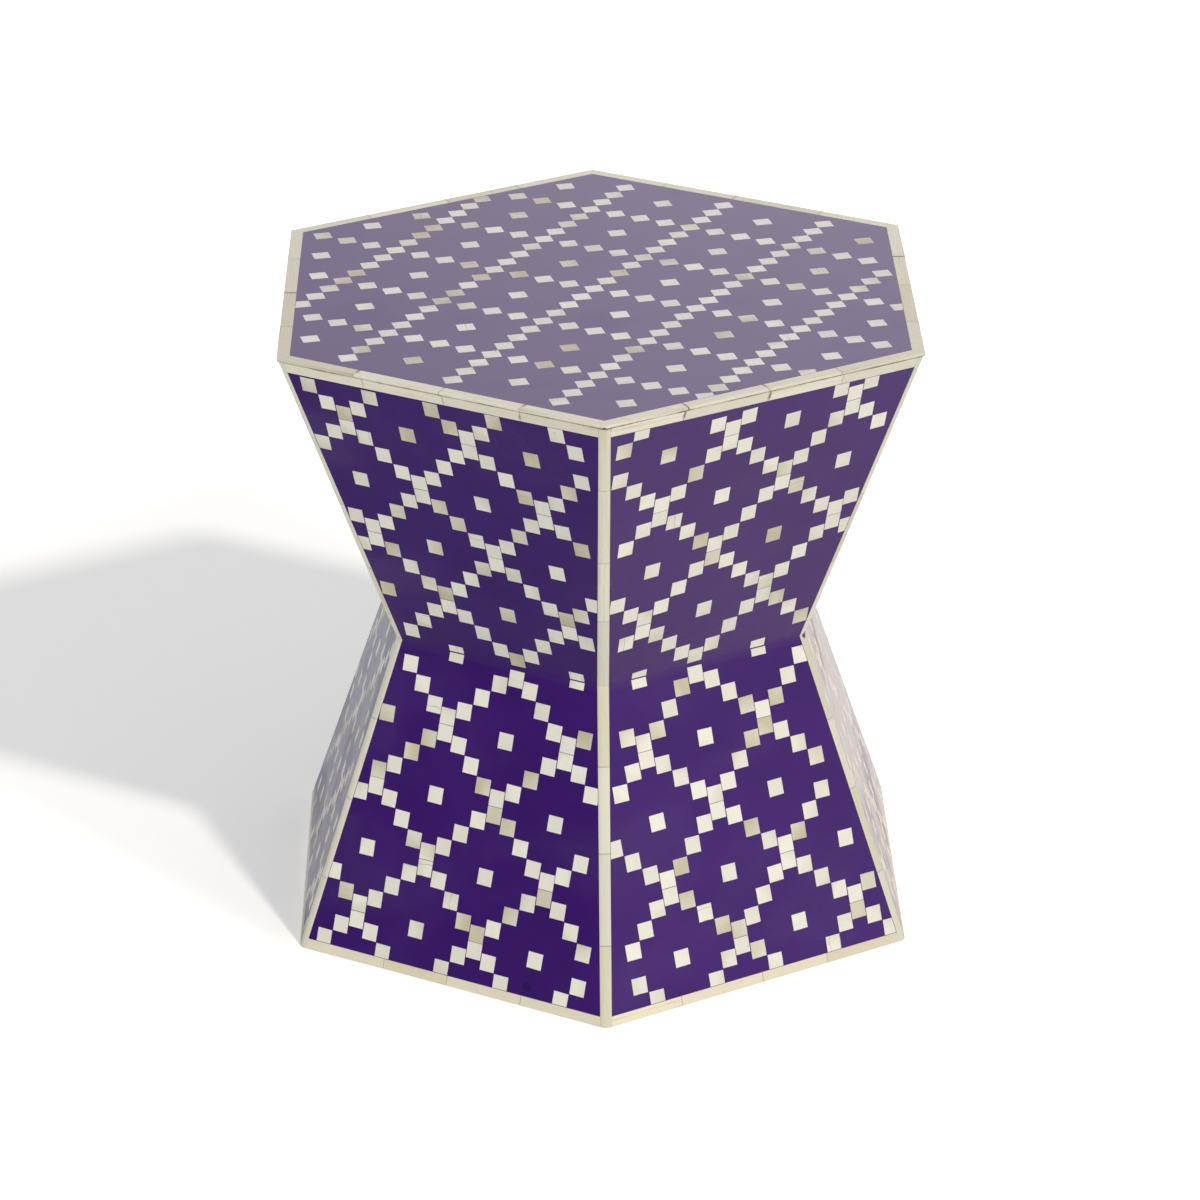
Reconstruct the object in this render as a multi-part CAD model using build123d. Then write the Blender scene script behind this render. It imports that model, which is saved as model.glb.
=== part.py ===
from build123d import *
from collections import namedtuple
import math
import os
import random

# A hexagonal drum table with a narrow waist: wooden boards under a skin of bone tiles set in resin.
# Millimetres, Z up. The origin is on the floor under the middle, and one corner points to -Y.

# Finished outside: the three hexagons, by the length of one side, and their heights
height = 450.0
waist_height = 221.5
top_side = 253.0
waist_side = 165.5
base_side = 249.0

# Skin of bone and resin: its thickness square to the wood, and how far it stops short of the floor
skin = 2.4
skin_lift = 0.5

# Wooden body
board_thickness = 12.0
top_board_thickness = 18.0
waist_plate_thickness = 15.0
cleat_width = 22.0
cleat_height = 20.0
corner_block_leg = 26.0
rail_thickness = 18.0
rail_height = 30.0
rail_lift = 3.0

# Screws: heads let in flush, and a bite of this share of the second piece's thickness
screw_diameter = 4.0
screw_head_diameter = 8.0
screw_head_rim = 0.5
screw_tip = 3.0
screw_slot_length = 5.0
screw_slot_width = 1.1
screw_slot_depth = 1.6
screw_bite_share = 0.65
screw_clearance = 0.1
screw_hole_spare = 0.5
waist_screw_inset = 30.0
screws_per_cleat = 2
screws_per_rail = 2

# Bone strips along the edges
top_border = 9.0
rim_border = 8.0
base_border = 7.0
corner_leg = 4.6
corner_flat = 2.4
longest_strip = 66.0
strip_joint = 0.25
strip_joint_shift = 5.0

# Bone tiles: they fill the pitch but for the web, and a repeat is so many pitches
tile_web = 0.45
tile_clearance = 0.05
repeat = 4
edge_web = 0.3
waist_web = 0.5
least_share = 0.6
waist_share = 0.4
pair_reach = 0.49
pair_room = 9.0
centre_tile_room = 6.3
size_scatter = 0.25
shift_scatter = 0.05
turn_scatter = 1.1
pair_turn_scatter = 0.4
wander = 0.7
wander_length = 300.0
centre_tile_drop = 0.15
waist_tile_spread = 0.6

# Layout of the pattern on a side, seen from outside: where the crossing nearest the waist lies from the
# middle of the waist line, the pitch across and up, how far the rows are turned, in degrees, and how far
# the tiles that lie on the waist line itself are moved along it
Layout = namedtuple("Layout", "across up pitch_across pitch_up turn waist_shift")
upper_layouts = [Layout(16.0, 0.2, 12.0, 12.4, 0.0, -1.5), Layout(-9.5, 1.8, 12.05, 12.85, 3.2, 3.6)]
lower_layouts = [Layout(15.6, -3.0, 12.0, 12.15, -0.6, -1.0), Layout(-9.4, -1.5, 12.2, 12.2, 0.3, 3.8)]

# Layout of the top: rows of tiles on the point, two chains that cross, and how far the tiles are turned
top_tile = 12.0
top_centre = (-2.7, 1.5)
top_chain_pitches = (17.7, 20.3)
top_chain_angles = (60.0, -30.0)
top_tile_turn = 13.0

# Starting numbers of the random draws
strip_seed = 3
top_seed = 5
side_seed = 10

side_count = 6
turn_step = 2 * math.pi / side_count
cos_half_step = math.cos(turn_step / 2)
sides = range(1, side_count + 1)
parts_folder = "parts"
written = []


def write(node, solids):
    """Write one node, made of one solid or of several alike."""
    shape = solids[0] if len(solids) == 1 else Compound(solids)
    export_step(shape, os.path.join(parts_folder, node + ".step"))
    written.append(node)


# Plain geometry

def prismatoid(first, last):
    """Solid with flat faces between two outlines that have as many points."""
    count = len(first)
    faces = [Face(Wire.make_polygon(first)), Face(Wire.make_polygon(last))]
    for i in range(count):
        j = (i + 1) % count
        faces.append(Face(Wire.make_polygon([first[i], first[j], last[j], last[i]])))
    return Solid(Shell(faces))


def corner_direction(k):
    """Level direction from the middle to corner k; corner 1 points to -Y, and side 1 ends there."""
    angle = -math.pi / 2 + turn_step * (k - 1)
    return Vector(math.cos(angle), math.sin(angle), 0)


def side_direction(side):
    """Level direction square to a side, which runs from corner side - 1 to corner side."""
    return (corner_direction(side - 1) + corner_direction(side)).normalized()


def along_direction(side):
    return (corner_direction(side) - corner_direction(side - 1)).normalized()


def corner_point(radius, k, z):
    return corner_direction(k) * radius + Vector(0, 0, z)


def hexagon(radius, z):
    return [corner_point(radius, k, z) for k in range(side_count)]


def polygon_area(points):
    pairs = zip(points, points[1:] + points[:1])
    return sum(p[0] * q[1] - q[0] * p[1] for p, q in pairs) / 2


def edge_distance(p, q, point):
    """How far a point lies inside the edge from p to q of an outline that runs anticlockwise."""
    length = math.dist(p, q)
    return ((q[0] - p[0]) * (point[1] - p[1]) - (q[1] - p[1]) * (point[0] - p[0])) / length


def clip(points, outline, inset=0.0):
    """Part of a convex outline that lies inside another one, by at least the inset."""
    for p, q in zip(outline, outline[1:] + outline[:1]):
        kept = []
        for a, b in zip(points, points[1:] + points[:1]):
            depth_a = edge_distance(p, q, a) - inset
            depth_b = edge_distance(p, q, b) - inset
            if depth_a >= 0:
                kept.append(a)
            if (depth_a >= 0) != (depth_b >= 0):
                share = depth_a / (depth_a - depth_b)
                kept.append((a[0] + (b[0] - a[0]) * share, a[1] + (b[1] - a[1]) * share))
        points = kept
        if len(points) < 3:
            return []
    return [a for a, b in zip(points, points[1:] + points[:1]) if math.dist(a, b) > tile_web]


def grow(points, amount):
    """Convex outline with each edge moved outwards by the amount."""
    grown = []
    for before, here, after in zip(points[-1:] + points[:-1], points, points[1:] + points[:1]):
        into = (Vector(*here) - Vector(*before)).normalized()
        out = (Vector(*after) - Vector(*here)).normalized()
        moved = Vector(*here) + (into - out) * (amount / into.cross(out).Z)
        grown.append((moved.X, moved.Y))
    return grown


def slab(outline, thickness, holes=()):
    """Plate under the local XY plane, with holes through it."""
    rings = [Wire.make_polygon([Vector(x, y, 0) for x, y in ring]) for ring in [outline, *holes]]
    return Solid.extrude(Face(rings[0], rings[1:]), Vector(0, 0, -thickness))


# The two sloping flanks

class Flank:
    """The six sloping sides between the waist and the top, or between the waist and the base."""

    def __init__(self, name, far_side, far_height, layouts):
        self.name = name
        self.far_side = far_side
        self.far_height = far_height
        self.layouts = layouts
        self.way = 1 if far_height > waist_height else -1
        run = (far_side - waist_side) * cos_half_step
        rise = abs(far_height - waist_height)
        self.tilt = math.atan2(run, rise)
        self.slant = math.hypot(run, rise)
        self.corner_slope = (far_side - waist_side) / 2 / self.slant
        self.corner_stretch = math.hypot(1, self.corner_slope)

    def radius(self, z, depth=0.0):
        """Radius to the corners at height z, this deep below the finished faces."""
        share = (z - waist_height) / (self.far_height - waist_height)
        outer = waist_side + (self.far_side - waist_side) * share
        return outer - depth / (math.cos(self.tilt) * cos_half_step)

    def plane(self, side):
        """Finished face of a side: X runs along it, Y up it, from the middle of the waist line."""
        outwards, along = side_direction(side), along_direction(side)
        up = Vector(0, 0, math.cos(self.tilt)) + outwards * (self.way * math.sin(self.tilt))
        origin = outwards * (waist_side * cos_half_step) + Vector(0, 0, waist_height)
        return Plane(origin=origin, x_dir=along, z_dir=along.cross(up))

    def half_width(self, y, border=0.0):
        """Half the width of a face at a place up it, less a border along its corners."""
        return waist_side / 2 + self.corner_slope * self.way * y - border * self.corner_stretch

    def level(self, z, depth=0.0):
        """Place up a face, this deep below it, that lies at height z."""
        return ((z - waist_height) - self.way * depth * math.sin(self.tilt)) / math.cos(self.tilt)

    def field(self, near, far):
        """Corners of a face inside its strips, anticlockwise, from a place near the waist to a far one."""
        low, high = min(near, far), max(near, far)
        half_low, half_high = self.half_width(low, corner_leg), self.half_width(high, corner_leg)
        return [(-half_low, low), (half_low, low), (half_high, high), (-half_high, high)]


upper = Flank("upper", top_side, height, upper_layouts)
lower = Flank("lower", base_side, 0.0, lower_layouts)
flanks = [upper, lower]
skin_top = height - skin
board_top = skin_top - top_board_thickness
wood_depth = skin + board_thickness


# Wooden body

def bar(side, levels, outer, inner):
    """Piece along one side between two heights, mitred at the corners; its two radii depend on the height."""
    rings = []
    for z in levels:
        rings.append([corner_point(outer(z), side - 1, z), corner_point(outer(z), side, z),
                      corner_point(inner(z), side, z), corner_point(inner(z), side - 1, z)])
    return prismatoid(*rings)


def side_board(flank, side, low, high):
    """Board whose outer face is under the skin."""
    return bar(side, (low, high), lambda z: flank.radius(z, skin), lambda z: flank.radius(z, wood_depth))


def plate(flank, low, high, depth):
    """Hexagonal plate whose edges follow the slope of a flank."""
    return prismatoid(hexagon(flank.radius(low, depth), low), hexagon(flank.radius(high, depth), high))


def cleat(side):
    """Batten in the angle between a side board and the top board."""
    levels = (board_top - cleat_height, board_top)
    inner = upper.radius(board_top, wood_depth) - cleat_width / cos_half_step
    return bar(side, levels, lambda z: upper.radius(z, wood_depth), lambda z: inner)


def rail(side):
    """Batten along the inside of a lower board, just above the floor."""
    levels = (rail_lift, rail_lift + rail_height)
    back = wood_depth + rail_thickness
    return bar(side, levels, lambda z: lower.radius(z, wood_depth), lambda z: lower.radius(z, back))


def corner_block(flank, k, low, high):
    """Three-cornered glue block up the inside of a mitre."""
    rings = []
    for z in (low, high):
        corner = corner_point(flank.radius(z, wood_depth), k, z)
        back = (corner_direction(k - 1) - corner_direction(k)) * corner_block_leg
        ahead = (corner_direction(k + 1) - corner_direction(k)) * corner_block_leg
        rings.append([corner, corner + ahead, corner + back])
    return prismatoid(*rings)


# Screws

def screw_body(length, spare, deeper):
    """Countersunk screw that points down from its head at the origin, or with spare the hole for it."""
    head, shank = screw_head_diameter / 2 + spare, screw_diameter / 2 + spare
    cone_end = -screw_head_rim - (head - shank)
    end = -length - deeper
    profile = [(0, 0), (head, 0), (head, -screw_head_rim), (shank, cone_end)]
    profile += [(shank, end + screw_tip), (0, end)]
    section = Face(Wire.make_polygon([Vector(r, 0, z) for r, z in profile]))
    return Solid.revolve(section, 360, Axis.Z)


def screw(length):
    body = screw_body(length, 0, 0)
    for across in (0, 90):
        slot = Box(screw_slot_length, screw_slot_width, 2 * screw_slot_depth)
        body = body - slot.rotate(Axis.Z, across)
    return body.solid()


def screw_hole(length):
    return screw_body(length, screw_clearance, screw_hole_spare)


def spread(length, count):
    """Places of count screws along a length, measured from its middle."""
    return [length * ((i + 0.5) / count - 0.5) for i in range(count)]


def waist_screw_planes():
    bottom = waist_height - waist_plate_thickness
    reach = lower.radius(waist_height, wood_depth) * cos_half_step - waist_screw_inset
    origins = [side_direction(side) * reach + Vector(0, 0, bottom) for side in sides]
    return [Plane(origin=origin, z_dir=Vector(0, 0, -1)) for origin in origins]


def top_screw_planes(side):
    reach = upper.radius(board_top, wood_depth) * cos_half_step - cleat_width / 2
    middle = side_direction(side) * reach + Vector(0, 0, skin_top)
    places = spread(upper.radius(board_top, wood_depth) - cleat_width, screws_per_cleat)
    return [Plane(origin=middle + along_direction(side) * place) for place in places]


def rail_screw_planes(side):
    face = lower.plane(side)
    inner = wood_depth + rail_thickness
    middle = lower.level(rail_lift + rail_height / 2, inner)
    places = spread(2 * lower.half_width(middle, inner), screws_per_rail)
    inwards = face.z_dir * -1
    return [Plane(origin=face.from_local_coords((place, middle, -inner)), z_dir=inwards) for place in places]


top_screw_length = top_board_thickness + cleat_height * screw_bite_share
waist_screw_length = waist_plate_thickness + waist_plate_thickness * screw_bite_share
rail_screw_length = rail_thickness + board_thickness * screw_bite_share


def at_each(planes, shape):
    return [shape.moved(plane.location) for plane in planes]


def drilled(shape, planes, length):
    for hole in at_each(planes, screw_hole(length)):
        shape = shape - hole
    return shape.solid()


def make_wood():
    top_planes = [plane for side in sides for plane in top_screw_planes(side)]
    write("top_board", [drilled(plate(upper, board_top, skin_top, skin), top_planes, top_screw_length)])
    for side in sides:
        write(f"upper_side_board_{side}", [side_board(upper, side, waist_height, board_top)])
        low_board = side_board(lower, side, 0.0, waist_height)
        write(f"lower_side_board_{side}", [drilled(low_board, rail_screw_planes(side), rail_screw_length)])
        write(f"base_rail_{side}", [drilled(rail(side), rail_screw_planes(side), rail_screw_length)])
    write("top_cleats", [drilled(cleat(side), top_screw_planes(side), top_screw_length) for side in sides])
    plate_top = waist_height + waist_plate_thickness
    plate_bottom = waist_height - waist_plate_thickness
    upper_plate = plate(upper, waist_height, plate_top, wood_depth)
    lower_plate = plate(lower, plate_bottom, waist_height, wood_depth)
    write("upper_waist_plate", [drilled(upper_plate, waist_screw_planes(), waist_screw_length)])
    write("lower_waist_plate", [drilled(lower_plate, waist_screw_planes(), waist_screw_length)])
    rail_top = rail_lift + rail_height
    write("upper_corner_blocks", [corner_block(upper, k, plate_top, board_top - cleat_height) for k in sides])
    write("lower_corner_blocks", [corner_block(lower, k, rail_top, plate_bottom) for k in sides])
    write("top_screws", at_each(top_planes, screw(top_screw_length)))
    write("waist_screws", at_each(waist_screw_planes(), screw(waist_screw_length)))
    rail_planes = [plane for side in sides for plane in rail_screw_planes(side)]
    write("rail_screws", at_each(rail_planes, screw(rail_screw_length)))


# Bone strips

def joints(length, chance):
    """Both ends of each strip along a length, from its middle; the outermost ends are left open."""
    count = math.ceil(length / longest_strip)
    cuts = [length * (i / count - 0.5) + chance.uniform(-strip_joint_shift, strip_joint_shift)
            for i in range(1, count)]
    starts = [-math.inf] + [cut + strip_joint / 2 for cut in cuts]
    ends = [cut - strip_joint / 2 for cut in cuts] + [math.inf]
    return list(zip(starts, ends))


def cut_bar(rows, start, end):
    """Four corners of a strip's outline: two rows with half a length each, cut where the joints come."""
    (front, half_front), (back, half_back) = rows
    return [front(max(start, -half_front)), front(min(end, half_front)),
            back(min(end, half_back)), back(max(start, -half_back))]


def top_strips(side, chance):
    """Strips along one edge of the top, mitred at the corners."""
    middle = (corner_direction(side - 1) + corner_direction(side)) * 0.5
    along = along_direction(side)
    inner = upper.radius(height) - top_border / cos_half_step

    def row(radius, z):
        return lambda place: middle * radius + along * place + Vector(0, 0, z), radius / 2

    strips = []
    for start, end in joints(top_side, chance):
        rings = [cut_bar((row(upper.radius(z), z), row(inner, z)), start, end) for z in (skin_top, height)]
        strips.append(prismatoid(*rings))
    return strips


def band_strips(flank, side, near, level, chance):
    """Strips along one face between its corner strips, from a place up it to a level cut."""

    def row(y, depth):
        return lambda place: Vector(place, y, -depth), flank.half_width(y, corner_leg)

    strips = []
    for start, end in joints(2 * flank.half_width(near, corner_leg), chance):
        rings = [cut_bar((row(near, 0.0), row(near, skin)), start, end),
                 cut_bar((row(flank.level(level), 0.0), row(flank.level(level, skin), skin)), start, end)]
        strips.append(prismatoid(*rings).moved(flank.plane(side).location))
    return strips


def slide(point, direction, origin, normal):
    """Where the line through a point meets a plane."""
    return point + direction * ((origin - point).dot(normal) / direction.dot(normal))


def corner_strips(flank, k, low, high, chance):
    """Strips up one corner, lapping both faces, with the arris taken off; square butts between them."""
    foot = corner_point(flank.radius(low), k, low)
    head = corner_point(flank.radius(high), k, high)
    direction = (head - foot).normalized()
    section = []
    for side, way in ((k, -1), (k + 1, 1)):
        face = flank.plane(side)
        run = face.x_dir * (way * flank.corner_stretch)
        edge = foot + run * corner_leg
        section.append([edge - face.z_dir * skin, edge, foot + run * corner_flat])
    root = corner_point(flank.radius(low, skin), k, low)
    outline = section[0] + section[1][::-1] + [root]
    level = Vector(0, 0, 1)
    middle = (foot + head) * 0.5
    strips = []
    for start, end in joints((head - foot).length, chance):
        lower_cut = (foot, level) if start == -math.inf else (middle + direction * start, direction)
        upper_cut = (head, level) if end == math.inf else (middle + direction * end, direction)
        rings = [[slide(point, direction, *cut) for point in outline] for cut in (lower_cut, upper_cut)]
        strips.append(prismatoid(*rings))
    return strips


def rim_edge():
    """Place up an upper face where the strip under the top begins."""
    return upper.level(skin_top) - rim_border


def base_edge():
    """Place up a lower face where the strip along the floor ends."""
    return lower.level(skin_lift) + base_border


def make_strips():
    chance = random.Random(strip_seed)
    write("top_border_strips", [strip for side in sides for strip in top_strips(side, chance)])
    write("upper_rim_strips", [strip for side in sides
                               for strip in band_strips(upper, side, rim_edge(), skin_top, chance)])
    write("base_border_strips", [strip for side in sides
                                 for strip in band_strips(lower, side, base_edge(), skin_lift, chance)])
    write("upper_corner_strips", [strip for k in sides
                                  for strip in corner_strips(upper, k, waist_height, skin_top, chance)])
    write("lower_corner_strips", [strip for k in sides
                                  for strip in corner_strips(lower, k, skin_lift, waist_height, chance)])


# Bone tiles

def turned(x, y, degrees):
    angle = math.radians(degrees)
    return x * math.cos(angle) - y * math.sin(angle), x * math.sin(angle) + y * math.cos(angle)


def side_sites(reach):
    """Places in pitches, in groups laid as one, with the room that each wants between its middle and the
    corner strips, which is none for the chains, and the least share of a cut tile that is laid."""
    for row in range(-reach, reach + 1):
        for column in range(-reach, reach + 1):
            across, up = repeat * column, repeat * row
            if (row + column) % 2:
                share = least_share if row else waist_share
                yield [(across, up - centre_tile_drop if row else 0)], centre_tile_room, share
                continue
            yield [(across, up - pair_reach), (across, up + pair_reach)], pair_room, least_share
            for step in range(1, repeat):
                yield [(across + step, up + step)], 0.0, least_share
                yield [(across - step, up + step)], 0.0, least_share


def top_sites(reach):
    """Places on the top, counted along the two chains."""
    for i in range(-repeat * reach, repeat * reach + 1):
        for j in range(-repeat * reach, repeat * reach + 1):
            on_chain = i % repeat == 0 or j % repeat == 0
            in_middle = i % repeat == repeat // 2 and j % repeat == repeat // 2
            if on_chain or in_middle:
                yield [(i, j)], 0.0, least_share


def tile_outline(x, y, width, length, degrees):
    """Corners of a tile about its middle, anticlockwise."""
    placed = []
    for way_x, way_y in ((-1, -1), (1, -1), (1, 1), (-1, 1)):
        dx, dy = turned(way_x * width / 2, way_y * length / 2, degrees)
        placed.append((x + dx, y + dy))
    return placed


def room_beside(field, point):
    """How far a place in a field lies from the nearer of the two corner strips."""
    return min(edge_distance(field[1], field[2], point), edge_distance(field[3], field[0], point))


def lay_tiles(sites, place, size, turn, field, chance):
    """Outlines of the tiles that lie in a field, cut where they run over its edge."""
    tiles = []
    for group, room, share in sites:
        spots = [place(*site) for site in group]
        middle_x = sum(x for x, y in spots) / len(spots)
        middle_y = sum(y for x, y in spots) / len(spots)
        has_room = not room or room_beside(field, (middle_x, middle_y)) > room
        lean = chance.uniform(-1, 1) * (turn_scatter if len(group) == 1 else pair_turn_scatter)
        shift_x = chance.uniform(-shift_scatter, shift_scatter)
        shift_y = chance.uniform(-shift_scatter, shift_scatter)
        shift_x += wander * math.sin(2 * math.pi * middle_y / wander_length)
        shift_y += wander * math.sin(2 * math.pi * middle_x / wander_length)
        for x, y in spots:
            dx, dy = turned(x - middle_x, y - middle_y, lean)
            width = size[0] - chance.uniform(0, size_scatter)
            length = size[1] - chance.uniform(0, size_scatter)
            whole = tile_outline(middle_x + dx + shift_x, middle_y + dy + shift_y, width, length, turn + lean)
            cut = clip(whole, field, edge_web)
            if has_room and len(cut) > 2 and polygon_area(cut) > share * width * length:
                tiles.append(cut)
    return tiles


def separation(p, q):
    """Gap between two convex outlines, negative if they overlap."""
    gaps = []
    for a, b in ((p, q), (q, p)):
        gaps += [min(-edge_distance(s, t, point) for point in b) for s, t in zip(a, a[1:] + a[:1])]
    return max(gaps)


def least_web(tiles):
    """Narrowest gap between two tiles; those with a tile's room or more between them are passed over."""
    gaps = []
    for i, p in enumerate(tiles):
        for q in tiles[:i]:
            if math.dist(p[0], q[0]) < 3 * top_tile:
                gaps.append(separation(p, q))
    return min(gaps)


def make_inlay(label, outline, tiles, location, beyond=None):
    """Resin sheet with a pocket for each tile, and the tiles in it."""
    pockets = [grow(tile, tile_clearance) for tile in tiles]
    resin = slab(outline, skin, pockets).moved(location)
    if beyond:
        resin = (resin - beyond).solid()
    write(label.format("resin"), [resin])
    write(label.format("bone_tiles"), [slab(tile, skin).moved(location) for tile in tiles])
    print(label.format("tiles"), len(tiles), "least web", round(least_web(tiles), 3))


def make_side_inlay(flank, side):
    """Pattern of one face; the tiles that cross the waist line are cut there in two."""
    layout = flank.layouts[(side - 1) % len(flank.layouts)]
    far = rim_edge() if flank is upper else base_edge()

    def place(across, up):
        if not up:
            x = across * layout.pitch_across + layout.waist_shift
            return x + layout.across, flank.way * waist_tile_spread
        x, y = turned(across * layout.pitch_across, up * layout.pitch_up, layout.turn)
        return x + layout.across, y + layout.up

    reach = math.ceil(flank.slant / (repeat * layout.pitch_up)) + 1
    size = (layout.pitch_across - tile_web, layout.pitch_up - tile_web)
    tile_field = flank.field(flank.way * (waist_web - edge_web), far)
    chance = random.Random(side_seed * side + (flank is upper))
    tiles = lay_tiles(side_sites(reach), place, size, layout.turn, tile_field, chance)

    # The sheet runs past the waist line at its back, and is cut level there against the other flank's sheet
    lap = -flank.way * skin * math.tan(flank.tilt)
    wide = 4 * max(top_side, base_side)
    other_side = Align.MAX if flank is upper else Align.MIN
    beyond = Box(wide, wide, height, align=(Align.CENTER, Align.CENTER, other_side))
    beyond = beyond.moved(Location((0, 0, waist_height)))
    make_inlay(f"{flank.name}_{{}}_{side}", flank.field(lap, far), tiles, flank.plane(side).location, beyond)


def make_top_inlay():
    radius = upper.radius(height) - top_border / cos_half_step
    field = [(point.X, point.Y) for point in hexagon(radius, 0.0)]

    def place(i, j):
        x, y = top_centre
        for count, pitch, angle in zip((i, j), top_chain_pitches, top_chain_angles):
            x += count * pitch * math.cos(math.radians(angle))
            y += count * pitch * math.sin(math.radians(angle))
        return x, y

    reach = math.ceil(top_side / (repeat * min(top_chain_pitches))) + 1
    size = (top_tile, top_tile)
    tiles = lay_tiles(top_sites(reach), place, size, top_tile_turn, field, random.Random(top_seed))
    make_inlay("top_{}", field, tiles, Location((0, 0, height)))


def main():
    os.makedirs(parts_folder, exist_ok=True)
    make_wood()
    make_strips()
    make_top_inlay()
    for flank in flanks:
        for side in sides:
            make_side_inlay(flank, side)
    print(len(written), "nodes written")


main()
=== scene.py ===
import math
import random

import bmesh
import bpy
from mathutils import Matrix, Vector


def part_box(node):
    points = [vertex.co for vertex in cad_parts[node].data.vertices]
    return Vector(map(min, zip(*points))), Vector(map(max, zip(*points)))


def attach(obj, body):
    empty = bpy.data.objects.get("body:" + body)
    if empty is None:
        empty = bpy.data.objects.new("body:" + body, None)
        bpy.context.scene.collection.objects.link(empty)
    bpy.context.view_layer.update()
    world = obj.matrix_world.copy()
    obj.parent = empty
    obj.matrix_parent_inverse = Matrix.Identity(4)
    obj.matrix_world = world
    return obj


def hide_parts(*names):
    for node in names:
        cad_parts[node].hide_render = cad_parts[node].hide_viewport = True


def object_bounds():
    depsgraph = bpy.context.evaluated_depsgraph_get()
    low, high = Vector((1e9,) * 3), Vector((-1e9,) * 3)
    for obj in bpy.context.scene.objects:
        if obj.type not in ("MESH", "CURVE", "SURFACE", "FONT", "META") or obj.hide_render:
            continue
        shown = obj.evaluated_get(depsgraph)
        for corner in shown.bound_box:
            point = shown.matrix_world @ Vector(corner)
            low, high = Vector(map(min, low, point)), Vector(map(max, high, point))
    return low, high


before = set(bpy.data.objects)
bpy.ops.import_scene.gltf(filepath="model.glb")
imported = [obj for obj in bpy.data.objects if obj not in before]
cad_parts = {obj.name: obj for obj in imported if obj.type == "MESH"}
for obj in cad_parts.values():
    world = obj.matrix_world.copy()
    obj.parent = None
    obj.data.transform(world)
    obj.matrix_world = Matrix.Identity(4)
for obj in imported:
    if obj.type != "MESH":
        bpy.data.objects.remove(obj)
cad_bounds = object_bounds()

# Sizes in metres, worked out from the frame where they follow it
MM = 0.001
WAIST_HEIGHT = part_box("upper_side_board_1")[0][2]
TOP_HEIGHT = cad_bounds[1][2]
TOP_RADIUS = cad_bounds[1][1]
RIM_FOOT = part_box("upper_rim_strips")[0][2]
SIDES = range(1, 7)
BANDS = ("upper", "lower")

# Camera of the photograph: where it stood, and small turns that bring the table to its place in the frame
LENS = 147.35
SENSOR = 36.0
CAMERA_DISTANCE = 3.5185
CAMERA_BEARING = math.radians(-0.917)
CAMERA_ELEVATION = math.radians(24.10)
CAMERA_TILT = 0.0033
CAMERA_PAN = 0.0002
CAMERA_ROLL = math.radians(0.18)
CAMERA_PIVOT = Vector((0.0, 0.0, 0.225))
CLIP_NEAR = 0.05
CLIP_FAR = 100

# Shapes of the bone pieces: the ring round the outside of each, how far its rim dips, and the rounded arrises
MERGE_DISTANCE = 0.001 * MM
FLAT_ANGLE = math.radians(1)
TILE_RING = 0.35 * MM
TILE_DIP = 0.03 * MM
STRIP_RING = 0.4 * MM
STRIP_DIP = 0.03 * MM
TOP_EDGE_ROUND = 0.8 * MM
CORNER_ROUND = 1.3 * MM
ROUND_SEGMENTS = 4
OUTWARD_LEAST = 0.6
UPWARD_LEAST = 0.9

# Tones of the bone pieces, from 0 for the pale bone to 1 for the khaki, their chances, and how far the
# grain of a tile swings, in degrees
TILE_HALF = 6 * MM
KHAKI_SHARE = 0.25
KHAKI_SHARE_ON_TOP = 0.17
KHAKI_TONES = (0.3, 1.0)
PALE_TONES = (-0.3, 0.15)
MOST_FADE = 0.35
STRIP_TONE_SHARE = 0.7
CRACKED_SHARE = 0.04
GRAIN_SWING = 7
GRAIN_SHIFT = 4
TILE_SEED = 1124
TILE_SEED_STEP = 10
TOP_TILE_SEED = 11
STRIP_SEED = 50

# Colours of the bone, pale and khaki, and how dark the rims of its pieces are
TILE_BONE = ((0.83, 0.81, 0.705, 1), (0.58, 0.53, 0.375, 1), 0.35)
TOP_TILE_BONE = ((0.82, 0.80, 0.745, 1), (0.56, 0.50, 0.385, 1), 0.35)
EDGE_BONE = ((0.80, 0.765, 0.635, 1), (0.68, 0.63, 0.45, 1), 0.8)
CORNER_BONE = ((0.745, 0.725, 0.59, 1), (0.65, 0.61, 0.43, 1), 0.8)
BASE_BONE = ((0.825, 0.755, 0.59, 1), (0.71, 0.63, 0.44, 1), 0.8)
NICK_COLOUR = (0.05, 0.02, 0.12, 1)
IOR = 1.5

# Figure of the bone: the scale of each noise along the grain, across it and square to both, the span of
# the noise that shows, and how strongly. A crack's spacing and bend are in millimetres.
CLOUD_SCALE = (45, 110, 1)
CLOUD_SHARE = 0.35
SHADES = (0.93, 1.04)
STREAK_TINT = (0.88, 0.84, 0.74, 1)
STREAK_SCALE = (60, 900, 1)
STREAK_SPAN = (0.4, 0.75)
STREAK_SHARE = 0.35
STREAK_HEIGHT = 0.2
PORE_COLOUR = (0.3, 0.23, 0.13, 1)
PORE_SCALE = (380, 1900, 1)
PORE_SPAN = (0.73, 0.8)
PORE_SHARE = 0.3
PORE_DEPTH = 0.5
CRACK_COLOUR = (0.2, 0.16, 0.12, 1)
CRACK_SPACING = 9.0
CRACK_BEND = 4.0
CRACK_BEND_SCALE = (160, 160, 1)
CRACK_SPAN = (0.012, 0.03)
CRACK_SHARE = 0.6
RIM_COLOUR = (0.42, 0.35, 0.26, 1)
RIM_SCALE = (500, 500, 1)
RIM_SPAN = (0.35, 0.7)
RIM_LEAST = 0.3
RIM_FADE_SPAN = (0.3, 1.0)
STAIN_COLOUR = (0.36, 0.24, 0.13, 1)
STAIN_SCALE = (150, 230, 1)
STAIN_SPAN = (0.715, 0.79)
STAIN_SHARE = 0.7
VEIN_COLOUR = (0.60, 0.46, 0.27, 1)
VEIN_SCALE = (16, 420, 1)
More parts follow.
